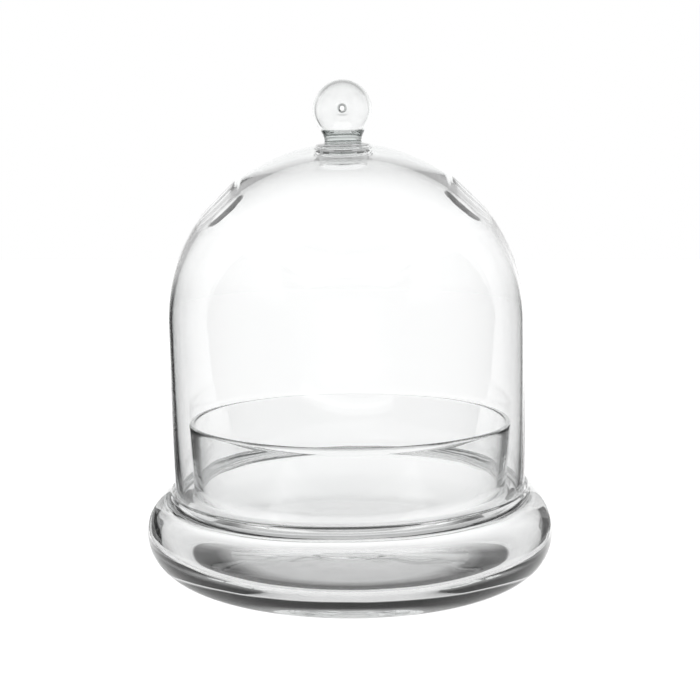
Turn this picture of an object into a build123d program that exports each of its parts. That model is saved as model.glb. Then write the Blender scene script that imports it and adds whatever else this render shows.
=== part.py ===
from build123d import *
import os
from math import cos, radians, sin

# Hand-blown glass bell jar: a bell dome with a hollow ball knob standing in the
# groove of a heavy blown base that has an upstanding neck.
# Origin: centre of the foot, on the surface it stands on. +Z up, front towards -Y.
# Millimetres throughout.

# --- base vessel -----------------------------------------------------------
BASE_R = 110.4            # widest radius of the bulge
WIDEST_Z = 22.0           # height of the widest circle, and radius of the lower arc
FOOT_INNER_R = 66.0       # the flat foot ring runs from here out to the lower arc
PUNT_RISE = 4.0           # hollow under the base, at its centre
PUNT_MID_RISE = 3.0       # the same hollow, half way out to the foot ring
PONTIL_R = 17.0           # ground and polished pontil disc under the base
PONTIL_DEPTH = 0.8
CREST_R = 97.6            # rounded crest outside the seat groove
CREST_Z = 45.6
GROOVE_OUTER_R = 96.4
CREST_ROUND = 0.5         # rounds both edges of the crest
NECK_ROOT_R = 85.4        # outside of the neck where it leaves the groove
NECK_FLARE_Z = 47.5       # above this the neck flares to its rim
NECK_RIM_R = 87.5         # outside of the neck at its rim
NECK_WALL = 2.8           # at the rim
WAIST_WALL = 4.0          # at the waist of the bore
RIM_Z = 81.1
RIM_ROUND = 1.35
ROOT_ROUND = 1.5          # fillet where the neck rises from the groove's floor
WAIST_Z = 48.5            # inside, the bore is narrowest here
BULGE_WALL = 6.0          # wall at the widest circle
FLOOR_Z = 9.0             # inside floor, near the wall
FLOOR_CENTRE_Z = 11.5     # inside floor, raised over the punt
FLOOR_EDGE_R = 82.0
FLOOR_MID_Z = 9.85        # inside floor, half way out
CEILING_R = 92.0          # underside of the shoulder, under the groove
CEILING_Z = 38.6

# --- seat and dome ---------------------------------------------------------
SEAT_Z = 43.0             # the dome's edge stands at this height on the axis
SEAT_GAP = 0.3            # clearance under the dome's edge
LEAN_DEG = 1.15           # groove floor and dome lean together towards -X
DOME_R = 96.0             # radius of the hemispherical crown
SPRING_H = 90.8           # height of the hemisphere's centre above the seat
EDGE_R = 95.2             # outside radius at the lower edge
EDGE_WALL = 3.0
SKIRT_SLOPE = 20.0        # the inside's rise per unit outwards, just above the edge
EDGE_ROUND = 1.3
SIDE_WALL = 2.2
CROWN_WALL = 8.0
SHOULDER_WALLS = [(68, 2.4), (48, 3.2), (26, 5.2)]    # degrees from the pole, wall
DIMPLE_R = 12.5           # small hollow inside the crown, under the knob
DIMPLE_DEPTH = 1.2
VENT_POLAR_DEG = 45.7     # the vents' centres, measured from the pole
VENT_R = 12.5
VENT_ROUND = 1.1

# --- knob ------------------------------------------------------------------
SOCKET_R = 13.4           # recess in the crown that takes the knob ring
SOCKET_DEPTH = 5.6
RING_R = 12.9
RING_H = 3.2
RING_ROUND = 1.2
STEM_R = 10.6
WAIST_R = 9.9             # the stem's narrowest ring
STEM_H = 6.2              # stem length above the knob ring
BALL_R = 15.7
BALL_ABOVE_RING = 19.2    # ball centre above the knob ring's top face
BALL_JOIN_DEG = 28.0      # the cone meets the ball this far below its equator
BALL_WALL = 1.7
CAVITY_FLOOR_H = 6.0      # bottom of the ball's hollow, above the ring's top face
CAVITY_FLOOR_R = 8.0
PINHOLE_R = 1.35
PINHOLE_DROP = 0.8        # the pinhole sits this far below the ball's equator
PINHOLE_ROUND = 0.75

# --- worked out ------------------------------------------------------------
SEAT = Plane.XY.offset(SEAT_Z).rotated((0, -LEAN_DEG, 0))
DOME_PROFILE = Plane(origin=SEAT.origin, x_dir=SEAT.x_dir, z_dir=-SEAT.y_dir)
DOME_AXIS = Axis(SEAT.origin, SEAT.z_dir)
APEX_H = SPRING_H + DOME_R
RING_BASE_H = APEX_H - SOCKET_DEPTH
RING_TOP_H = RING_BASE_H + RING_H
BALL_H = RING_TOP_H + BALL_ABOVE_RING
LOWER_ARC_R = BASE_R - WIDEST_Z
DIMPLE_TOP_H = APEX_H - CROWN_WALL + DIMPLE_DEPTH
DIMPLE_BASE_H = APEX_H - CROWN_WALL - DIMPLE_DEPTH
DIMPLE_ARC_R = (DIMPLE_R**2 + (2 * DIMPLE_DEPTH)**2) / (4 * DIMPLE_DEPTH)
WELL_CLEAR = 20.0         # how far cutting shapes run past the glass


def on_sphere(radius, polar_deg):
    """A point in the dome's profile, on a sphere about the spring centre."""
    polar = radians(polar_deg)
    return (radius * sin(polar), SPRING_H + radius * cos(polar))


os.makedirs("parts", exist_ok=True)

# Cutting shape for the seat groove: a ring between the neck and the crest,
# with its floor parallel to the dome's edge.
groove_floor = SEAT.offset(-SEAT_GAP)
with BuildPart() as groove_cutter:
    with BuildSketch(Plane.XZ):
        with BuildLine():
            Polyline(
                (NECK_ROOT_R, SEAT_Z - WELL_CLEAR),
                (NECK_ROOT_R, NECK_FLARE_Z),
                (GROOVE_OUTER_R, NECK_FLARE_Z),
                (GROOVE_OUTER_R, SEAT_Z - WELL_CLEAR),
                close=True,
            )
        make_face()
    revolve(axis=Axis.Z)
    split(bisect_by=groove_floor, keep=Keep.TOP)

# Base vessel: one blown piece with a flat foot ring, a fat rounded bulge, the
# seat groove and the neck.
with BuildPart() as base_vessel:
    with BuildSketch(Plane.XZ):
        with BuildLine():
            Line((0, 0), (LOWER_ARC_R, 0))
            RadiusArc((LOWER_ARC_R, 0), (BASE_R, WIDEST_Z), -WIDEST_Z)
            TangentArc((BASE_R, WIDEST_Z), (CREST_R, CREST_Z), tangent=(0, 1))
            Polyline(
                (CREST_R, CREST_Z),
                (NECK_ROOT_R, CREST_Z),
                (NECK_ROOT_R, NECK_FLARE_Z),
                (NECK_RIM_R, RIM_Z),
                (0, RIM_Z),
                (0, 0),
            )
        make_face()
    revolve(axis=Axis.Z)
    with BuildSketch(Plane.XZ):
        with BuildLine():
            Spline(
                (0, FLOOR_CENTRE_Z),
                (FLOOR_EDGE_R / 2, FLOOR_MID_Z),
                (FLOOR_EDGE_R, FLOOR_Z),
                tangents=[(1, 0), (1, 0)],
            )
            Spline(
                (FLOOR_EDGE_R, FLOOR_Z),
                (BASE_R - BULGE_WALL, WIDEST_Z),
                (CEILING_R, CEILING_Z),
                (NECK_ROOT_R - WAIST_WALL, WAIST_Z),
                tangents=[(1, 0), (0, 1)],
            )
            Polyline(
                (NECK_ROOT_R - WAIST_WALL, WAIST_Z),
                (NECK_RIM_R - NECK_WALL, RIM_Z),
                (NECK_RIM_R - NECK_WALL, RIM_Z + WELL_CLEAR),
                (0, RIM_Z + WELL_CLEAR),
                (0, FLOOR_CENTRE_Z),
            )
        make_face()
    revolve(axis=Axis.Z, mode=Mode.SUBTRACT)
    rim_edges = base_vessel.edges().group_by(Axis.Z)[-1]
    fillet(rim_edges, RIM_ROUND)
    add(groove_cutter.part, mode=Mode.SUBTRACT)
    crest_edges = base_vessel.edges().filter_by_position(Axis.Z, CREST_Z, CREST_Z)
    fillet(crest_edges.filter_by(GeomType.CIRCLE), CREST_ROUND)
    groove_edges = base_vessel.edges().filter_by(GeomType.ELLIPSE)
    fillet(groove_edges.sort_by(SortBy.LENGTH)[0], ROOT_ROUND)
    with BuildSketch(Plane.XZ):
        with BuildLine():
            Line((0, 0), (FOOT_INNER_R, 0))
            ThreePointArc(
                (FOOT_INNER_R, 0),
                (FOOT_INNER_R / 2, PUNT_MID_RISE),
                (0, PUNT_RISE),
            )
            Line((0, PUNT_RISE), (0, 0))
        make_face()
    revolve(axis=Axis.Z, mode=Mode.SUBTRACT)
    with BuildSketch(Plane.XY):
        Circle(PONTIL_R)
    extrude(amount=PUNT_RISE + PONTIL_DEPTH, mode=Mode.SUBTRACT)

base_vessel.part.label = "base_vessel"
export_step(base_vessel.part, "parts/base_vessel.step")

# Dome shell: hemispherical crown on a slightly tapering skirt, thick at the
# pole and thin at the side, with two opposite round vents in the shoulder.
with BuildPart() as dome_shell:
    with BuildSketch(DOME_PROFILE):
        with BuildLine():
            RadiusArc((0, APEX_H), (DOME_R, SPRING_H), DOME_R)
            TangentArc((DOME_R, SPRING_H), (EDGE_R, 0), tangent=(0, -1))
            Line((EDGE_R, 0), (EDGE_R - EDGE_WALL, 0))
            Spline(
                (EDGE_R - EDGE_WALL, 0),
                (DOME_R - SIDE_WALL, SPRING_H),
                tangents=[(1, SKIRT_SLOPE), (0, 1)],
            )
            Spline(
                (DOME_R - SIDE_WALL, SPRING_H),
                *[on_sphere(DOME_R - wall, polar) for polar, wall in SHOULDER_WALLS],
                (0, APEX_H - CROWN_WALL),
                tangents=[(0, 1), (-1, 0)],
            )
            Line((0, APEX_H - CROWN_WALL), (0, APEX_H))
        make_face()
    revolve(axis=DOME_AXIS)
    edge_circles = dome_shell.edges().sort_by(DOME_AXIS)[:2]
    fillet(edge_circles, EDGE_ROUND)
    with BuildSketch(SEAT.offset(RING_BASE_H)):
        Circle(SOCKET_R)
    extrude(amount=WELL_CLEAR, mode=Mode.SUBTRACT)
    with BuildSketch(DOME_PROFILE):
        with BuildLine():
            Line((0, DIMPLE_BASE_H), (DIMPLE_R, DIMPLE_BASE_H))
            RadiusArc((DIMPLE_R, DIMPLE_BASE_H), (0, DIMPLE_TOP_H), -DIMPLE_ARC_R)
            Line((0, DIMPLE_TOP_H), (0, DIMPLE_BASE_H))
        make_face()
    revolve(axis=DOME_AXIS, mode=Mode.SUBTRACT)
    for side in (-1, 1):
        radius, height = on_sphere(DOME_R, VENT_POLAR_DEG)
        to_vent = SEAT.x_dir * side * radius + SEAT.z_dir * (height - SPRING_H)
        spring_centre = SEAT.origin + SEAT.z_dir * SPRING_H
        with BuildSketch(Plane(origin=spring_centre + to_vent, z_dir=to_vent)):
            Circle(VENT_R)
        extrude(amount=WELL_CLEAR, both=True, mode=Mode.SUBTRACT)
        fillet(dome_shell.edges(Select.LAST), VENT_ROUND)

dome_shell.part.label = "dome_shell"
export_step(dome_shell.part, "parts/dome_shell.step")

# Knob ring: the fused button of glass between the crown and the knob's stem.
with BuildPart() as knob_ring:
    with BuildSketch(SEAT.offset(RING_BASE_H)):
        Circle(RING_R)
    extrude(amount=RING_H)
    fillet(knob_ring.edges().sort_by(DOME_AXIS)[-1], RING_ROUND)

knob_ring.part.label = "knob_ring"
export_step(knob_ring.part, "parts/knob_ring.step")

# Knob: a hollow ball on a short solid stem, with a small vent hole in front.
join = radians(BALL_JOIN_DEG)
join_r = BALL_R * cos(join)
join_h = BALL_H - BALL_R * sin(join)
inner_r = BALL_R - BALL_WALL
with BuildPart() as knob:
    with BuildSketch(DOME_PROFILE):
        with BuildLine():
            Line((0, RING_TOP_H), (STEM_R, RING_TOP_H))
            Spline(
                (STEM_R, RING_TOP_H),
                (WAIST_R, RING_TOP_H + STEM_H / 2),
                (STEM_R, RING_TOP_H + STEM_H),
                (join_r, join_h),
                tangents=[(0, 1), (sin(join), cos(join))],
            )
            ThreePointArc((join_r, join_h), (BALL_R, BALL_H), (0, BALL_H + BALL_R))
            Line((0, BALL_H + BALL_R), (0, RING_TOP_H))
        make_face()
    revolve(axis=DOME_AXIS)
    with BuildSketch(DOME_PROFILE):
        with BuildLine():
            Line((0, RING_TOP_H + CAVITY_FLOOR_H), (CAVITY_FLOOR_R, RING_TOP_H + CAVITY_FLOOR_H))
            Line(
                (CAVITY_FLOOR_R, RING_TOP_H + CAVITY_FLOOR_H),
                (inner_r * cos(join), BALL_H - inner_r * sin(join)),
            )
            ThreePointArc(
                (inner_r * cos(join), BALL_H - inner_r * sin(join)),
                (inner_r, BALL_H),
                (0, BALL_H + inner_r),
            )
            Line((0, BALL_H + inner_r), (0, RING_TOP_H + CAVITY_FLOOR_H))
        make_face()
    revolve(axis=DOME_AXIS, mode=Mode.SUBTRACT)
    pinhole_centre = SEAT.origin + SEAT.z_dir * (BALL_H - PINHOLE_DROP)
    with BuildSketch(Plane(origin=pinhole_centre, z_dir=-SEAT.y_dir)):
        Circle(PINHOLE_R)
    extrude(amount=WELL_CLEAR, mode=Mode.SUBTRACT)
    fillet(knob.edges(Select.LAST), PINHOLE_ROUND)

knob.part.label = "knob"
export_step(knob.part, "parts/knob.step")
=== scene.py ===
from math import asin, atan2, cos, exp, pi, radians, sin, sqrt, tan

import bpy
from mathutils import Matrix, Vector, noise


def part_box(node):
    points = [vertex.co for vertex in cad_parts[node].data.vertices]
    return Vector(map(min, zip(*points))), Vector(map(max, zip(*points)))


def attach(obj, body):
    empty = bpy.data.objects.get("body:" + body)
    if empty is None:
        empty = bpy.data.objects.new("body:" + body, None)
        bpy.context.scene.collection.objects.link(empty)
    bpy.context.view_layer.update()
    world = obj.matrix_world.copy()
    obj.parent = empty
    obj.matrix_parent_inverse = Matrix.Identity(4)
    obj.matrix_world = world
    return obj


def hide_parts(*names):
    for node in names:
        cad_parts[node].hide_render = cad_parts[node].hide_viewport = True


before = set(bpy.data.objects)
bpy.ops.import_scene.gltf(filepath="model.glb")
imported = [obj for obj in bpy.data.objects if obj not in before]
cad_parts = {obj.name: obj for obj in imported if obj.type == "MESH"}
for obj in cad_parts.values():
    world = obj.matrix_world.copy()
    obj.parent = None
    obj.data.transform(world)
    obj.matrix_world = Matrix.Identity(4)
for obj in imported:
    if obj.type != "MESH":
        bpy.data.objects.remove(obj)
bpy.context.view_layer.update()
NOISE_SEED = 11
noise.seed_set(NOISE_SEED)  # without a seed noise_vector differs from run to run

# --- driving dimensions, metres, as in the CAD model -------------------------
MM = 0.001
BASE_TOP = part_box("base_vessel")[1]
BASE_R = BASE_TOP.x
RIM_Z = BASE_TOP.z
WIDEST_Z = 22.0 * MM
FOOT_INNER_R = 66.0 * MM
PUNT_RISE = 4.0 * MM
PONTIL_R = 17.0 * MM
PONTIL_DEPTH = 0.8 * MM
CREST_R = 97.6 * MM
CREST_Z = 45.6 * MM
GROOVE_OUTER_R = 96.4 * MM
NECK_ROOT_R = 85.4 * MM
NECK_RIM_R = 87.5 * MM
NECK_WALL = 2.8 * MM
WAIST_Z = 48.5 * MM
BULGE_WALL = 6.0 * MM
FLOOR_Z = 9.0 * MM
FLOOR_CENTRE_Z = 11.5 * MM
FLOOR_EDGE_R = 82.0 * MM
CEILING_R = 92.0 * MM
CEILING_Z = 38.6 * MM

SEAT_Z = 43.0 * MM
SEAT_GAP = 0.3 * MM
LEAN = radians(1.15)
DOME_R = 96.0 * MM
SPRING_H = 90.8 * MM
EDGE_R = 95.2 * MM
EDGE_WALL = 3.0 * MM
SIDE_WALL = 2.2 * MM
DIMPLE_R = 12.5 * MM
DIMPLE_DEPTH = 1.2 * MM
VENT_POLAR = radians(45.7)
VENT_R = 12.5 * MM

SOCKET_R = 13.4 * MM
SOCKET_DEPTH = 5.6 * MM
RING_R = 12.9 * MM
RING_H = 3.2 * MM
RING_ROUND = 1.2 * MM
STEM_R = 10.6 * MM
STEM_WAIST_R = 9.9 * MM
STEM_H = 6.2 * MM
BALL_R = 15.7 * MM
BALL_ABOVE_RING = 19.2 * MM
BALL_JOIN = radians(28.0)
BALL_WALL = 1.7 * MM
CAVITY_FLOOR_H = 6.0 * MM
PINHOLE_R = 1.35 * MM
PINHOLE_DROP = 0.8 * MM

# --- small shapes that the CAD leaves out or makes otherwise -------------------
PONTIL_EDGE = 0.3 * MM     # width of the slope round the pontil disc
CREST_LIP = 1.2 * MM       # how far the crest's inner side curves down into the groove
GROOVE_ROUND = 0.8 * MM
SOCKET_ROUND = 0.6 * MM
RING_FOOT_ROUND = 0.5 * MM
STEM_ROUND = 0.4 * MM
CONE_PULL = 2.6 * MM       # how far the cone under the ball keeps the ball's own slope

# --- fitted to how the glass looks, where the CAD has other values or none
WAIST_WALL = 3.4 * MM
ROOT_ROUND = 2.2 * MM
CROWN_WALL = 7.5 * MM
SHOULDER_WALL = 6.2 * MM   # the wall near the top, outside the thick pole
THINNING = 1.7             # how fast it thins towards the side
POLE_SPREAD = radians(11)  # how far the thick pole reaches
SKIRT_SWELL = 2.4          # how soon the wall thins above the bell's edge
BOWL_R = 7.0 * MM          # the rounded bottom of the ball's hollow
BOWL_RISE = 0.5 * MM
VENT_BEAD = 0.1 * MM
PINHOLE_BEAD = 0.25 * MM
FLOOR_RIPPLE = 0.5 * MM    # waves on the floor inside the base
RIPPLE_SIZE = 15 * MM
FOOT_CALM_Z = 0.5 * MM     # the surface's waves start here and are full a little higher
CALM_FADE = 9 * MM

AROUND = 288               # segments round the base and the dome
KNOB_AROUND = 128

APEX_H = SPRING_H + DOME_R
RING_BASE_H = APEX_H - SOCKET_DEPTH
RING_TOP_H = RING_BASE_H + RING_H
BALL_H = RING_TOP_H + BALL_ABOVE_RING
DOME_FRAME = Matrix.Translation((0, 0, SEAT_Z)) @ Matrix.Rotation(-LEAN, 4, "Y")


# --- outlines ----------------------------------------------------------------
def line(start, end, steps):
    """Points from start towards end, without end."""
    return [
        (start[0] + (end[0] - start[0]) * i / steps, start[1] + (end[1] - start[1]) * i / steps)
        for i in range(steps)
    ]


def arc(centre, radius, first, last, steps):
    """Points on a circle from angle first towards last, without the last one. Angles from +r, in degrees."""
    return [
        (
            centre[0] + radius * cos(radians(first + (last - first) * i / steps)),
            centre[1] + radius * sin(radians(first + (last - first) * i / steps)),
        )
        for i in range(steps)
    ]


def curve(start, start_pull, end_pull, end, steps):
    """A cubic Bezier from start towards end, without end."""
    points = []
    for i in range(steps):
        t = i / steps
        a, b, c, d = (1 - t) ** 3, 3 * t * (1 - t) ** 2, 3 * t * t * (1 - t), t**3
        points.append(tuple(a * start[k] + b * start_pull[k] + c * end_pull[k] + d * end[k] for k in (0, 1)))
    return points


# --- meshes --------------------------------------------------------------------
ON_AXIS = 1e-7             # a smaller radius is one vertex on the axis
BEAD_REACH = 3             # a lip's bead dies away over this many half walls
FAN_CROWDING = 1.8         # how the rings round a hole crowd towards its edge
NOISE_STEP = (7.3, 3.1, -5.7)


class Turned:
    """A closed surface of revolution about +Z, made of rings, with round holes cut through its wall."""

    def __init__(self, outline, segments):
        self.segments = segments
        self.verts = []
        self.faces = []
        self.lip = range(0)     # the faces of the lip of the hole pierced last
        self.rings = []
        for radius, height in outline:
            first = len(self.verts)
            if radius < ON_AXIS:
                self.verts.append(Vector((0, 0, height)))
                self.rings.append([first] * segments)
            else:
                for j in range(segments):
                    angle = 2 * pi * j / segments
                    self.verts.append(Vector((radius * cos(angle), radius * sin(angle), height)))
                self.rings.append(list(range(first, first + segments)))

    def skin(self, skipped=frozenset()):
        """Faces between neighbouring rings, apart from the (ring, segment) cells in skipped."""
        for i in range(len(self.rings) - 1):
            upper, lower = self.rings[i], self.rings[i + 1]
            for j in range(self.segments):
                if (i, j) in skipped:
                    continue
                k = (j + 1) % self.segments
                corners = [upper[j], upper[k], lower[k], lower[j]]
                self.faces.append(list(dict.fromkeys(corners)))

    def cells(self, rows, columns):
        """A block of cells, as (ring, segment) pairs."""
        return {(i, j % self.segments) for i in range(*rows) for j in range(*columns)}

    def border(self, rows, columns):
        """The vertices round a block of cells, in order."""
        top, bottom = rows
        left, right = columns
        walk = [(top, j) for j in range(left, right)]
        walk += [(i, right) for i in range(top, bottom)]
        walk += [(bottom, j) for j in range(right, left, -1)]
        walk += [(i, left) for i in range(bottom, top, -1)]
        return [self.rings[i][j % self.segments] for i, j in walk]

    def ladder(self, first, second):
        """Quads between two closed loops of the same length."""
        count = len(first)
        for k in range(count):
            n = (k + 1) % count
            self.faces.append([first[k], first[n], second[n], second[k]])

    def add(self, points):
        """New vertices, as the list of their numbers."""
        first = len(self.verts)
        self.verts += points
        return list(range(first, first + len(points)))


def pierce(
    shape, centre, aim, hole_r, outer_at, inner_at,
    outer_rows, inner_rows, columns, bead, lip_steps, fan_steps,
):
    """A round hole with a fire-polished lip, through a wall that is a pair of radius functions about centre.
    outer_at and inner_at give the wall's radii in a direction. The rows and columns bound the two blocks of
    cells that it replaces. The glass has drawn back into a bead round the hole, so the lip is thicker than
    the wall."""
    side = aim.cross(Vector((0, 0, 1))).normalized()
    up = side.cross(aim).normalized()
    scale = outer_at(aim)
    half = (scale - inner_at(aim)) / 2 + bead

    def direction(reach, angle):
        return (aim + reach / scale * (cos(angle) * side + sin(angle) * up)).normalized()

    def swell(reach):
        t = min(max((reach - hole_r - half) / (BEAD_REACH * half), 0.0), 1.0)
        return bead * (1 - t * t * (3 - 2 * t))

    def outer_point(reach, angle):
        d = direction(reach, angle)
        return centre + d * (outer_at(d) + swell(reach))

    def inner_point(reach, angle):
        d = direction(reach, angle)
        return centre + d * (inner_at(d) - swell(reach))

    ends = []
    for rows, point in ((outer_rows, outer_point), (inner_rows, inner_point)):
        loop = shape.border(rows, columns)
        polar = []
        for v in loop:
            d = (shape.verts[v] - centre).normalized()
            d /= d.dot(aim)
            across, along = d.dot(side), d.dot(up)
            polar.append((atan2(along, across), scale * sqrt(along**2 + across**2)))
        for step in range(1, fan_steps + 1):
            t = 1 - (1 - step / fan_steps) ** FAN_CROWDING
            ring = shape.add([point(reach + (hole_r + half - reach) * t, angle) for angle, reach in polar])
            shape.ladder(loop, ring)
            loop = ring
        ends.append((loop, [angle for angle, _ in polar]))
    (previous, angles), (inner, inner_angles) = ends
    first_lip = len(shape.faces)
    for step in range(1, lip_steps):
        beta = pi * step / lip_steps
        reach = hole_r + half * (1 - sin(beta))
        ring = []
        for angle in angles:
            d = direction(reach, angle)
            middle = (outer_at(d) + inner_at(d)) / 2
            ring.append(centre + d * (middle + half * cos(beta)))
        ring = shape.add(ring)
        shape.ladder(previous, ring)
        previous = ring
    # the inner loop runs the other way round, because its rows do: match it by angle
    order = []
    for angle in angles:
        gaps = [abs((a - angle + pi) % (2 * pi) - pi) for a in inner_angles]
        order.append(inner[gaps.index(min(gaps))])
    shape.ladder(previous, order)
    shape.lip = range(first_lip, len(shape.faces))


def hand_blown(point, size, amount, seed):
    """A smooth irregularity of about amount metres at the scale size, the same every run."""
    shifted = point / size + Vector([seed * step for step in NOISE_STEP])
    return noise.noise_vector(shifted) * amount


def make_object(
    name, shape, place, waves, body, node, material,
    calm=lambda point: 1.0, lip_material=None,
):
    """The finished piece: waved, set in place, smooth, riding on its body and standing for its CAD node.
    waves lists (size, amount, seed), and calm gives the share of them that a point keeps."""
    verts = []
    for v in shape.verts:
        moved = v.copy()
        for size, amount, seed in waves:
            moved += hand_blown(v, size, amount, seed) * calm(v)
        verts.append(place(moved))
    mesh = bpy.data.meshes.new(name)
    mesh.from_pydata(verts, [], shape.faces)
    mesh.validate()
    mesh.polygons.foreach_set("use_smooth", [True] * len(mesh.polygons))
    mesh.update()
    piece = bpy.data.objects.new(name, mesh)
    bpy.context.scene.collection.objects.link(piece)
    bpy.context.view_layer.objects.active = piece
    piece.select_set(True)
    bpy.ops.object.mode_set(mode="EDIT")
    bpy.ops.mesh.select_all(action="SELECT")
    bpy.ops.mesh.normals_make_consistent(inside=False)
    bpy.ops.object.mode_set(mode="OBJECT")
    piece.select_set(False)
    mesh.materials.append(material)
    if lip_material:
        mesh.materials.append(lip_material)
        for face in shape.lip:
            mesh.polygons[face].material_index = 1
    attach(piece, body)
    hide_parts(node)


# --- materials -----------------------------------------------------------------
GLASS_IOR = 1.5
ABSORBED_TINT = (0.88, 0.895, 0.89, 1)
SMEAR_SCALE = 31.0         # noise features per metre
SMEAR_ROUGHNESS = 0.05
CORD_SCALE = 9.0
CORD_STRETCH = (1.0, 1.0, 0.35)


def glass(name, tint, density, relief_depth):
    """Clear glass with faint smears on it, and with cords, which tint it unevenly and stand in low relief.
    density is how fast it absorbs light, per metre."""
    material = bpy.data.materials.new(name)
    material.use_nodes = True
    nodes, links = material.node_tree.nodes, material.node_tree.links
    shader = nodes["Principled BSDF"]
    shader.inputs["Transmission Weight"].default_value = 1.0
    shader.inputs["IOR"].default_value = GLASS_IOR
    place = nodes.new("ShaderNodeTexCoord")
    smears = nodes.new("ShaderNodeTexNoise")
    smears.inputs["Scale"].default_value = SMEAR_SCALE
    smears.inputs["Detail"].default_value = 6.0
    haze = nodes.new("ShaderNodeMapRange")
    haze.inputs["From Min"].default_value = 0.56
    haze.inputs["From Max"].default_value = 0.78
    haze.inputs["To Max"].default_value = SMEAR_ROUGHNESS
    links.new(place.outputs["Object"], smears.inputs["Vector"])
    links.new(smears.outputs["Fac"], haze.inputs["Value"])
    links.new(haze.outputs["Result"], shader.inputs["Roughness"])
    cords = nodes.new("ShaderNodeTexNoise")
    cords.inputs["Scale"].default_value = CORD_SCALE
    cords.inputs["Detail"].default_value = 2.0
    stretch = nodes.new("ShaderNodeMapping")
    stretch.inputs["Scale"].default_value = CORD_STRETCH
    links.new(place.outputs["Object"], stretch.inputs["Vector"])
    links.new(stretch.outputs["Vector"], cords.inputs["Vector"])
    shade = nodes.new("ShaderNodeMix")
    shade.data_type = "RGBA"
    shade.inputs["A"].default_value = (*tint, 1)
    shade.inputs["B"].default_value = (1, 1, 1, 1)
    links.new(cords.outputs["Fac"], shade.inputs["Factor"])
    links.new(shade.outputs["Result"], shader.inputs["Base Color"])
    relief = nodes.new("ShaderNodeBump")
    relief.inputs["Strength"].default_value = 1.0
    relief.inputs["Distance"].default_value = relief_depth
    links.new(cords.outputs["Fac"], relief.inputs["Height"])
    links.new(relief.outputs["Normal"], shader.inputs["Normal"])
    absorption = nodes.new("ShaderNodeVolumeAbsorption")
    absorption.inputs["Color"].default_value = ABSORBED_TINT
    absorption.inputs["Density"].default_value = density
    links.new(absorption.outputs["Volume"], nodes["Material Output"].inputs["Volume"])
    return material


BASE_GLASS = glass("base_glass", (0.985, 0.99, 0.99), 6.0, 0.02 * MM)
DOME_GLASS = glass("dome_glass", (0.99, 0.995, 0.995), 8.0, 0.01 * MM)
KNOB_GLASS = glass("knob_glass", (0.99, 0.99, 0.99), 170.0, 0.01 * MM)
# painted shade on the pinhole's lip: its glass is tinted dark grey
PAINTED_SHADE_LIP_GLASS = glass("pinhole_lip_painted_shade_glass", (0.45, 0.45, 0.45), 60.0, 0.02 * MM)


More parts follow.
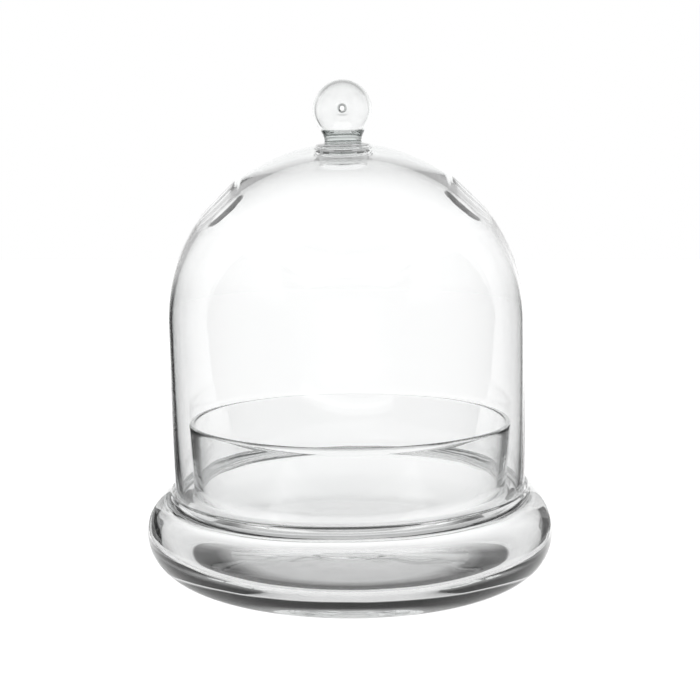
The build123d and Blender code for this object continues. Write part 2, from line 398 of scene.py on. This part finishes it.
# --- base vessel -----------------------------------------------------------------
def base_outline():
    """From the axis under the foot, out and up over the crest, groove and neck, and back along the inside."""
    lower_r = BASE_R - WIDEST_Z
    upper_arc_r = ((BASE_R - CREST_R) ** 2 + (CREST_Z - WIDEST_Z) ** 2) / (2 * (BASE_R - CREST_R))
    upper_end = atan2(CREST_Z - WIDEST_Z, CREST_R - (BASE_R - upper_arc_r)) * 180 / pi
    floor = SEAT_Z - SEAT_GAP
    root = (NECK_ROOT_R + ROOT_ROUND, floor + ROOT_ROUND)
    rim_r = NECK_WALL / 2
    rim_centre = (NECK_RIM_R - rim_r, RIM_Z - rim_r)
    waist_r = NECK_ROOT_R - WAIST_WALL
    pontil_z = PUNT_RISE + PONTIL_DEPTH
    punt_at_pontil = PUNT_RISE * (1 - (PONTIL_R / FOOT_INNER_R) ** 2)
    points = line((0, pontil_z), (PONTIL_R, pontil_z), 8)
    points += line((PONTIL_R, pontil_z), (PONTIL_R + PONTIL_EDGE, punt_at_pontil), 3)
    punt_steps = 16
    for i in range(punt_steps):
        r = PONTIL_R + PONTIL_EDGE + (FOOT_INNER_R - PONTIL_R - PONTIL_EDGE) * i / punt_steps
        points.append((r, PUNT_RISE * (1 - (r / FOOT_INNER_R) ** 2)))
    points += line((FOOT_INNER_R, 0), (lower_r, 0), 8)
    points += arc((lower_r, WIDEST_Z), WIDEST_Z, -90, 0, 24)
    points += arc((BASE_R - upper_arc_r, WIDEST_Z), upper_arc_r, 0, upper_end, 24)
    points += curve(
        (CREST_R, CREST_Z),
        (CREST_R - 0.9 * MM, CREST_Z + 0.5 * MM),
        (GROOVE_OUTER_R, CREST_Z - 0.2 * MM),
        (GROOVE_OUTER_R, CREST_Z - CREST_LIP),
        8,
    )
    points += line((GROOVE_OUTER_R, CREST_Z - CREST_LIP), (GROOVE_OUTER_R, floor + GROOVE_ROUND), 3)
    points += arc((GROOVE_OUTER_R - GROOVE_ROUND, floor + GROOVE_ROUND), GROOVE_ROUND, 0, -90, 5)
    points += line((GROOVE_OUTER_R - GROOVE_ROUND, floor), (root[0], floor), 5)
    points += arc(root, ROOT_ROUND, 270, 180, 8)
    points += line((NECK_ROOT_R, root[1]), (NECK_RIM_R, rim_centre[1]), 20)
    points += arc(rim_centre, rim_r, 0, 180, 12)
    inside_rim = NECK_RIM_R - NECK_WALL
    points += line((inside_rim, rim_centre[1]), (waist_r, WAIST_Z), 24)
    points += curve(
        (waist_r, WAIST_Z),
        (waist_r, WAIST_Z - 6 * MM),
        (CEILING_R - 8 * MM, CEILING_Z + 0.8 * MM),
        (CEILING_R, CEILING_Z),
        16,
    )
    inner_r = BASE_R - BULGE_WALL
    points += curve(
        (CEILING_R, CEILING_Z),
        (CEILING_R + 7 * MM, CEILING_Z - 1 * MM),
        (inner_r, WIDEST_Z + 9 * MM),
        (inner_r, WIDEST_Z),
        16,
    )
    points += curve(
        (inner_r, WIDEST_Z),
        (inner_r, WIDEST_Z - 8 * MM),
        (FLOOR_EDGE_R + 10 * MM, FLOOR_Z),
        (FLOOR_EDGE_R, FLOOR_Z),
        18,
    )
    points += curve(
        (FLOOR_EDGE_R, FLOOR_Z),
        (FLOOR_EDGE_R - 30 * MM, FLOOR_Z),
        (28 * MM, FLOOR_CENTRE_Z),
        (0, FLOOR_CENTRE_Z),
        24,
    )
    points.append((0, FLOOR_CENTRE_Z))
    return points


def lean_of_base(point):
    """The crest and groove lean with the dome, and the lean dies away down the bulge and up the neck."""
    z = point.z
    full_z = SEAT_Z - 1 * MM
    if z < WIDEST_Z:
        share = 0.0
    elif z < full_z:
        t = (z - WIDEST_Z) / (full_z - WIDEST_Z)
        share = t * t * (3 - 2 * t)
    else:
        share = max(0.4, 1 - 0.6 * (z - SEAT_Z) / (RIM_Z - SEAT_Z))
    return Vector((point.x, point.y, z + point.x * tan(LEAN) * share))


def foot_calm(point):
    """The foot was ground flat, so its surface has no waves."""
    return min(max((point.z - FOOT_CALM_Z) / CALM_FADE, 0.0), 1.0)


def build_base():
    shape = Turned(base_outline(), AROUND)
    shape.skin()
    margin = 0.1 * MM
    for v in shape.verts:
        reach = sqrt(v.x * v.x + v.y * v.y)
        if FLOOR_Z - margin < v.z < FLOOR_CENTRE_Z + margin and reach < FLOOR_EDGE_R:
            fade = 1 - (reach / FLOOR_EDGE_R) ** 4
            v.z += fade * FLOOR_RIPPLE * noise.noise((v.x / RIPPLE_SIZE, v.y / RIPPLE_SIZE, 4.0))
    waves = [(60 * MM, 0.25 * MM, 1), (17 * MM, 0.10 * MM, 2)]
    make_object(
        "base_vessel_glass", shape, lean_of_base, waves, "base", "base_vessel", BASE_GLASS,
        calm=foot_calm,
    )


# --- dome shell ----------------------------------------------------------------------
def lean_of_dome(point):
    """From the dome's own axis, which starts in the seat, to the leaning dome."""
    return DOME_FRAME @ point


def dome_wall(polar):
    """The crown's wall at an angle from the pole."""
    side = SIDE_WALL + (SHOULDER_WALL - SIDE_WALL) * max(cos(polar), 0.0) ** THINNING
    return side + (CROWN_WALL - SHOULDER_WALL) * exp(-((polar / POLE_SPREAD) ** 2))


def build_dome():
    centre = Vector((0, 0, SPRING_H))
    first_polar, last_polar = 9, 90
    polars = [radians(p) for p in range(first_polar, last_polar + 1)]

    def on(radius, polar):
        return (radius * sin(polar), SPRING_H + radius * cos(polar))

    socket_top = on(DOME_R, asin((SOCKET_R + 0.5 * MM) / DOME_R))
    outline = line((0, RING_BASE_H), (SOCKET_R - SOCKET_ROUND, RING_BASE_H), 8)
    outline += curve(
        (SOCKET_R - SOCKET_ROUND, RING_BASE_H),
        (SOCKET_R, RING_BASE_H),
        (SOCKET_R, RING_BASE_H),
        (SOCKET_R, RING_BASE_H + SOCKET_ROUND),
        4,
    )
    outline += line((SOCKET_R, RING_BASE_H + SOCKET_ROUND), (SOCKET_R, socket_top[1] - 1.5 * MM), 5)
    outline += curve(
        (SOCKET_R, socket_top[1] - 1.5 * MM),
        (SOCKET_R, socket_top[1] - 0.2 * MM),
        (socket_top[0] - 0.3 * MM, socket_top[1] + 0.04 * MM),
        socket_top,
        6,
    )
    outline.append(socket_top)
    outer_start = len(outline)
    outline += [on(DOME_R, p) for p in polars]
    skirt_steps = 40
    edge_half = EDGE_WALL / 2
    for i in range(1, skirt_steps + 1):
        h = SPRING_H + (edge_half - SPRING_H) * i / skirt_steps
        outline.append((DOME_R - (DOME_R - EDGE_R) * ((SPRING_H - h) / SPRING_H) ** 2, h))
    edge_centre = (outline[-1][0] - edge_half, edge_half)
    outline = outline[:-1] + arc(edge_centre, edge_half, 0, -180, 12)
    inner_bottom = edge_centre[0] - edge_half
    for i in range(skirt_steps):
        t = i / skirt_steps
        h = edge_half + (SPRING_H - edge_half) * t
        outline.append((inner_bottom + (DOME_R - SIDE_WALL - inner_bottom) * (1 - (1 - t) ** SKIRT_SWELL), h))
    inner_start = len(outline)
    outline += [on(DOME_R - dome_wall(p), p) for p in reversed(polars)]
    dimple_from = outline[-1]
    dimple_top = APEX_H - CROWN_WALL + DIMPLE_DEPTH
    outline = outline[:-1] + curve(
        dimple_from,
        (dimple_from[0] - 1.5 * MM, dimple_from[1] + 0.3 * MM),
        (DIMPLE_R * 0.6, dimple_top),
        (0, dimple_top),
        12,
    )
    outline.append((0, dimple_top))
    shape = Turned(outline, AROUND)
    reach_polar, reach_around = 11, 12
    middle = round(VENT_POLAR * 180 / pi) - first_polar
    outer_rows = (outer_start + middle - reach_polar, outer_start + middle + reach_polar)
    last = inner_start + last_polar - first_polar
    inner_rows = (last - middle - reach_polar, last - middle + reach_polar)
    vents = []
    skipped = set()
    for column in (0, shape.segments // 2):
        columns = (column - reach_around, column + reach_around)
        skipped |= shape.cells(outer_rows, columns) | shape.cells(inner_rows, columns)
        vents.append(columns)
    shape.skin(skipped)
    for side, columns in zip((1, -1), vents):
        aim = Vector((side * sin(VENT_POLAR), 0, cos(VENT_POLAR)))
        pierce(
            shape, centre, aim, VENT_R,
            lambda d: DOME_R,
            lambda d: DOME_R - dome_wall(atan2(sqrt(d.x * d.x + d.y * d.y), d.z)),
            outer_rows, inner_rows, columns, VENT_BEAD, 12, 14,
        )
    waves = [(70 * MM, 0.25 * MM, 3)]
    make_object(
        "dome_shell_glass", shape, lean_of_dome, waves, "dome", "dome_shell", DOME_GLASS,
    )


# --- knob ------------------------------------------------------------------------------
def build_ring():
    foot_r = RING_R - RING_FOOT_ROUND
    foot_h = RING_BASE_H + RING_FOOT_ROUND
    shoulder_r = RING_R - RING_ROUND
    shoulder_h = RING_TOP_H - RING_ROUND
    outline = line((0, RING_BASE_H), (foot_r, RING_BASE_H), 8)
    outline += arc((foot_r, foot_h), RING_FOOT_ROUND, -90, 0, 4)
    outline += line((RING_R, foot_h), (RING_R, shoulder_h), 3)
    outline += arc((shoulder_r, shoulder_h), RING_ROUND, 0, 90, 8)
    outline += line((shoulder_r, RING_TOP_H), (0, RING_TOP_H), 8)
    outline.append((0, RING_TOP_H))
    shape = Turned(outline, KNOB_AROUND)
    shape.skin()
    make_object("knob_ring_glass", shape, lean_of_dome, [], "dome", "knob_ring", KNOB_GLASS)


def build_knob():
    centre = Vector((0, 0, BALL_H))
    inner_r = BALL_R - BALL_WALL
    join_polar = pi / 2 + BALL_JOIN
    steps = 59
    polars = [join_polar * (1 - i / steps) for i in range(steps + 1)]
    join = (BALL_R * sin(join_polar), BALL_H + BALL_R * cos(join_polar))
    outline = line((0, RING_TOP_H), (STEM_R - STEM_ROUND, RING_TOP_H), 6)
    outline += arc((STEM_R - STEM_ROUND, RING_TOP_H + STEM_ROUND), STEM_ROUND, -90, 0, 3)
    outline += curve(
        (STEM_R, RING_TOP_H + STEM_ROUND),
        (STEM_R, RING_TOP_H + 1.6 * MM),
        (STEM_WAIST_R, RING_TOP_H + 2.0 * MM),
        (STEM_WAIST_R, RING_TOP_H + STEM_H / 2),
        8,
    )
    outline += curve(
        (STEM_WAIST_R, RING_TOP_H + STEM_H / 2),
        (STEM_WAIST_R, RING_TOP_H + STEM_H),
        (join[0] - CONE_PULL * sin(BALL_JOIN), join[1] - CONE_PULL * cos(BALL_JOIN)),
        join,
        14,
    )
    outer_start = len(outline)
    outline += [(BALL_R * sin(p), BALL_H + BALL_R * cos(p)) for p in polars[:-1]]
    outline.append((0, BALL_H + BALL_R))
    # the hollow is a second closed surface
    hollow = [(0, BALL_H + inner_r)]
    hollow += [(inner_r * sin(p), BALL_H + inner_r * cos(p)) for p in reversed(polars[:-1])]
    cavity_floor = RING_TOP_H + CAVITY_FLOOR_H
    slope_end = (BOWL_R, cavity_floor + BOWL_RISE)
    hollow += curve(
        hollow[-1],
        (hollow[-1][0] - CONE_PULL * sin(BALL_JOIN), hollow[-1][1] - CONE_PULL * cos(BALL_JOIN)),
        (slope_end[0] + 2.0 * MM, slope_end[1] + 0.6 * MM),
        slope_end,
        16,
    )[1:]
    hollow += curve(
        slope_end,
        (slope_end[0] - 1.2 * MM, slope_end[1] - 0.4 * MM),
        (3.5 * MM, cavity_floor),
        (0, cavity_floor),
        10,
    )
    hollow.append((0, cavity_floor))
    shape = Turned(outline + hollow, KNOB_AROUND)
    joint_row = len(outline) - 1
    reach_polar, reach_around = 7, 6
    # rows on the outer ball run upwards and on the hollow downwards
    drop_polar = pi / 2 + PINHOLE_DROP / BALL_R
    nearest = min(range(steps), key=lambda i: abs(polars[i] - drop_polar))
    outer_row = outer_start + nearest
    outer_rows = (outer_row - reach_polar, outer_row + reach_polar)
    hollow_row = len(outline) + steps - nearest
    inner_rows = (hollow_row - reach_polar, hollow_row + reach_polar)
    front = shape.segments * 3 // 4
    columns = (front - reach_around, front + reach_around)
    skipped = shape.cells(outer_rows, columns) | shape.cells(inner_rows, columns)
    skipped |= {(joint_row, j) for j in range(shape.segments)}
    shape.skin(skipped)
    aim = Vector((0, -sin(drop_polar), cos(drop_polar)))
    pierce(
        shape, centre, aim, PINHOLE_R,
        lambda d: BALL_R,
        lambda d: inner_r,
        outer_rows, inner_rows, columns, PINHOLE_BEAD, 8, 7,
    )
    waves = [(14 * MM, 0.12 * MM, 5)]
    # the pinhole's lip faces take the dark grey glass, painted shade round the hole
    make_object(
        "knob_glass_ball", shape, lean_of_dome, waves, "dome", "knob", KNOB_GLASS,
        lip_material=PAINTED_SHADE_LIP_GLASS,
    )


build_base()
build_dome()
build_ring()
build_knob()


# --- studio ------------------------------------------------------------------------------
LENS = 56.9                # mm on a sensor 36 mm wide
SENSOR = 36.0
PITCH = radians(6.2)
AIM_Z = 118 * MM
DISTANCE = 599.5 * MM

FLOOR_HALF = 6.0
FLOOR_LIFT = 0.05 * MM     # the floor lies this far inside the foot, so no film of air mirrors under it
FLOOR_GREY = 0.8
FLOOR_GLOW = 0.74
FLOOR_TO_CAMERA = 1.35     # times FLOOR_GLOW it is as white as the world behind
RAMP_R = 0.2               # the floor's painted shadow greys are given by shares of this radius
# painted contact shadow, by share of RAMP_R: grey under the foot, near black in a ring under its edge, pale
# beyond
FLOOR_SHADOW_STOPS = ((0.0, 0.68), (0.29, 0.6), (0.335, 0.25), (0.37, 0.01), (0.436, 0.01), (0.446, 0.8))
FRONT_FADE_Y = 0.06        # the painted shadow fades out from the middle back to here; behind it the floor is plain

WALL_LIGHT = 1.14          # what the glass sees of the world, from the floor up
HIGH_LIGHT = 0.5
TOP_LIGHT = 0.8
WORLD_STOPS = ((0.0, WALL_LIGHT), (0.14, WALL_LIGHT), (0.58, HIGH_LIGHT), (1.0, TOP_LIGHT))

# cards, in the camera's frame: x to the right, y up, -z ahead
CARDS_LOW = -0.135
FLAG_NEAR = 0.25
FLAG_TALL = 0.555
FLAG_LOW_X = 0.15
FLAG_HIGH_X = 0.36
FLAGS = (
    ("left", -1, ((0.0, 0.02), (0.34, 0.03), (0.44, 0.5), (1.0, 0.9)), 0.73, 1.2),
    ("right", 1, ((0.0, 0.09), (0.34, 0.12), (0.44, 0.55), (1.0, 0.9)), 0.71, 1.0),
)
APRON_HALF = 0.5
FRONT_HALF = 1.0
FRONT_GREY = 0.2


def grey_ramp(nodes, stops):
    """A ramp through greys, by the stops (share, grey)."""
    ramp = nodes.new("ShaderNodeValToRGB")
    elements = ramp.color_ramp.elements
    while len(elements) < len(stops):
        elements.new(0.5)
    for element, (position, grey) in zip(elements, stops):
        element.position = position
        element.color = (grey, grey, grey, 1)
    return ramp


def white_to_camera(nodes, links, colour, grey):
    """The colour for what the glass sees, and the grey for what the camera sees directly."""
    path = nodes.new("ShaderNodeLightPath")
    seen = nodes.new("ShaderNodeMix")
    seen.data_type = "RGBA"
    seen.inputs["B"].default_value = (grey, grey, grey, 1)
    links.new(path.outputs["Is Camera Ray"], seen.inputs["Factor"])
    links.new(colour, seen.inputs["A"])
    return seen.outputs["Result"]


def emitter(name, stops, length):
    """A light whose grey runs along its local +Y from 0 to length."""
    material = bpy.data.materials.new(name)
    material.use_nodes = True
    nodes, links = material.node_tree.nodes, material.node_tree.links
    nodes.clear()
    place = nodes.new("ShaderNodeTexCoord")
    split = nodes.new("ShaderNodeSeparateXYZ")
    share = nodes.new("ShaderNodeMath")
    share.operation = "DIVIDE"
    share.inputs[1].default_value = length
    ramp = grey_ramp(nodes, stops)
    light = nodes.new("ShaderNodeEmission")
    out = nodes.new("ShaderNodeOutputMaterial")
    links.new(place.outputs["Object"], split.inputs[0])
    links.new(split.outputs["Y"], share.inputs[0])
    links.new(share.outputs[0], ramp.inputs["Fac"])
    links.new(ramp.outputs["Color"], light.inputs["Color"])
    links.new(light.outputs["Emission"], out.inputs["Surface"])
    return material


def build_card(name, rows, low, material, camera):
    """A flag or panel held on the camera's stand, seen only in the glass: a strip through rows of two
    corners, whose height is measured from low."""
    corners = [corner for row in rows for corner in row]
    faces = [(2 * i, 2 * i + 1, 2 * i + 3, 2 * i + 2) for i in range(len(rows) - 1)]
    mesh = bpy.data.meshes.new(name)
    mesh.from_pydata(corners, [], faces)
    mesh.materials.append(material)
    card = bpy.data.objects.new(name, mesh)
    bpy.context.scene.collection.objects.link(card)
    card.parent = camera
    card.matrix_local = Matrix.Translation((0, low, 0))
    card.visible_camera = False
    card.visible_diffuse = False
    card.visible_shadow = False


def floor_material():
    """Pale, with a painted shadow under the front of the foot that the glass sees: greyer under the foot and
    a near black ring under its edge. White to the camera.
    """
    material = bpy.data.materials.new("pale_floor_painted_shadow")
    material.use_nodes = True
    nodes, links = material.node_tree.nodes, material.node_tree.links
    shader = nodes["Principled BSDF"]
    shader.inputs["Roughness"].default_value = 0.9
    shader.inputs["Specular IOR Level"].default_value = 0.0
    place = nodes.new("ShaderNodeTexCoord")
    reach = nodes.new("ShaderNodeVectorMath")
    reach.operation = "LENGTH"
    scaled = nodes.new("ShaderNodeMath")
    scaled.operation = "MULTIPLY"
    scaled.inputs[1].default_value = 1 / RAMP_R
    shade = grey_ramp(nodes, FLOOR_SHADOW_STOPS)
    links.new(place.outputs["Object"], reach.inputs[0])
    links.new(reach.outputs["Value"], scaled.inputs[0])
    links.new(scaled.outputs[0], shade.inputs["Fac"])
    split = nodes.new("ShaderNodeSeparateXYZ")
    links.new(place.outputs["Object"], split.inputs[0])
    front = nodes.new("ShaderNodeMapRange")
    front.inputs["From Min"].default_value = FRONT_FADE_Y
    front.inputs["From Max"].default_value = 0.0
    links.new(split.outputs["Y"], front.inputs["Value"])
    mix = nodes.new("ShaderNodeMix")
    mix.data_type = "RGBA"
    mix.inputs["A"].default_value = (FLOOR_GREY, FLOOR_GREY, FLOOR_GREY, 1)
    links.new(front.outputs["Result"], mix.inputs["Factor"])
    links.new(shade.outputs["Color"], mix.inputs["B"])
    links.new(mix.outputs["Result"], shader.inputs["Base Color"])
    # the painted shadow is in the floor's glow as well as in its colour
    glow = white_to_camera(nodes, links, mix.outputs["Result"], FLOOR_TO_CAMERA)
    links.new(glow, shader.inputs["Emission Color"])
    shader.inputs["Emission Strength"].default_value = FLOOR_GLOW
    return material


def build_floor():
    corners = [(x * FLOOR_HALF, y * FLOOR_HALF, FLOOR_LIFT) for x, y in ((-1, -1), (1, -1), (1, 1), (-1, 1))]
    mesh = bpy.data.meshes.new("floor")
    mesh.from_pydata(corners, [], [(0, 1, 2, 3)])
    mesh.materials.append(floor_material())
    floor = bpy.data.objects.new("floor", mesh)
    bpy.context.scene.collection.objects.link(floor)


def build_world():
    """White to the camera. To the glass, a white wall up to the height of the object and grey above."""
    world = bpy.data.worlds.new("light_tent")
    bpy.context.scene.world = world
    world.use_nodes = True
    nodes, links = world.node_tree.nodes, world.node_tree.links
    place = nodes.new("ShaderNodeTexCoord")
    split = nodes.new("ShaderNodeSeparateXYZ")
    ramp = grey_ramp(nodes, WORLD_STOPS)
    links.new(place.outputs["Generated"], split.inputs[0])
    links.new(split.outputs["Z"], ramp.inputs["Fac"])
    light = white_to_camera(nodes, links, ramp.outputs["Color"], 1)
    links.new(light, nodes["Background"].inputs["Color"])


def build_camera():
    camera = bpy.data.cameras.new("camera")
    camera.sensor_width = SENSOR
    camera.lens = LENS
    holder = bpy.data.objects.new("camera", camera)
    bpy.context.scene.collection.objects.link(holder)
    holder.location = (0, -DISTANCE, AIM_Z + DISTANCE * tan(PITCH))
    holder.rotation_euler = (pi / 2 - PITCH, 0, 0)
    bpy.context.scene.camera = holder
    return holder


def build_flags(camera):
    """Dark flags close beside the object, a dark apron before its foot and a dark card behind the camera."""
    for name, side, stops, low_back, high_back in FLAGS:
        low_x, high_x = side * FLAG_LOW_X, side * FLAG_HIGH_X
        rows = [
            ((low_x, 0, -FLAG_NEAR), (low_x, 0, -low_back)),
            ((high_x, FLAG_TALL, -FLAG_NEAR), (high_x, FLAG_TALL, -high_back)),
        ]
        build_card("flag_" + name, rows, CARDS_LOW, emitter(name + "_flag", stops, FLAG_TALL), camera)
    rows = [
        ((-APRON_HALF, 0, -0.47), (APRON_HALF, 0, -0.47)),
        ((-APRON_HALF, -0.03, -0.05), (APRON_HALF, -0.03, -0.05)),
    ]
    build_card("apron", rows, CARDS_LOW, emitter("apron", ((0.0, 0.05), (1.0, 0.3)), 0.05), camera)
    rows = [
        ((-FRONT_HALF, 0, 0.1), (FRONT_HALF, 0, 0.1)),
        ((-FRONT_HALF, 2 * FRONT_HALF, 0.1), (FRONT_HALF, 2 * FRONT_HALF, 0.1)),
    ]
    front = emitter("front_card", ((0.0, FRONT_GREY), (1.0, FRONT_GREY)), 2 * FRONT_HALF)
    build_card("card_front", rows, -FRONT_HALF, front, camera)


build_floor()
build_world()
build_flags(build_camera())

scene = bpy.context.scene
scene.view_settings.view_transform = "Standard"
scene.cycles.max_bounces = 32
scene.cycles.transmission_bounces = 32
scene.cycles.glossy_bounces = 16
scene.cycles.diffuse_bounces = 4
scene.cycles.transparent_max_bounces = 16
scene.cycles.use_denoising = True
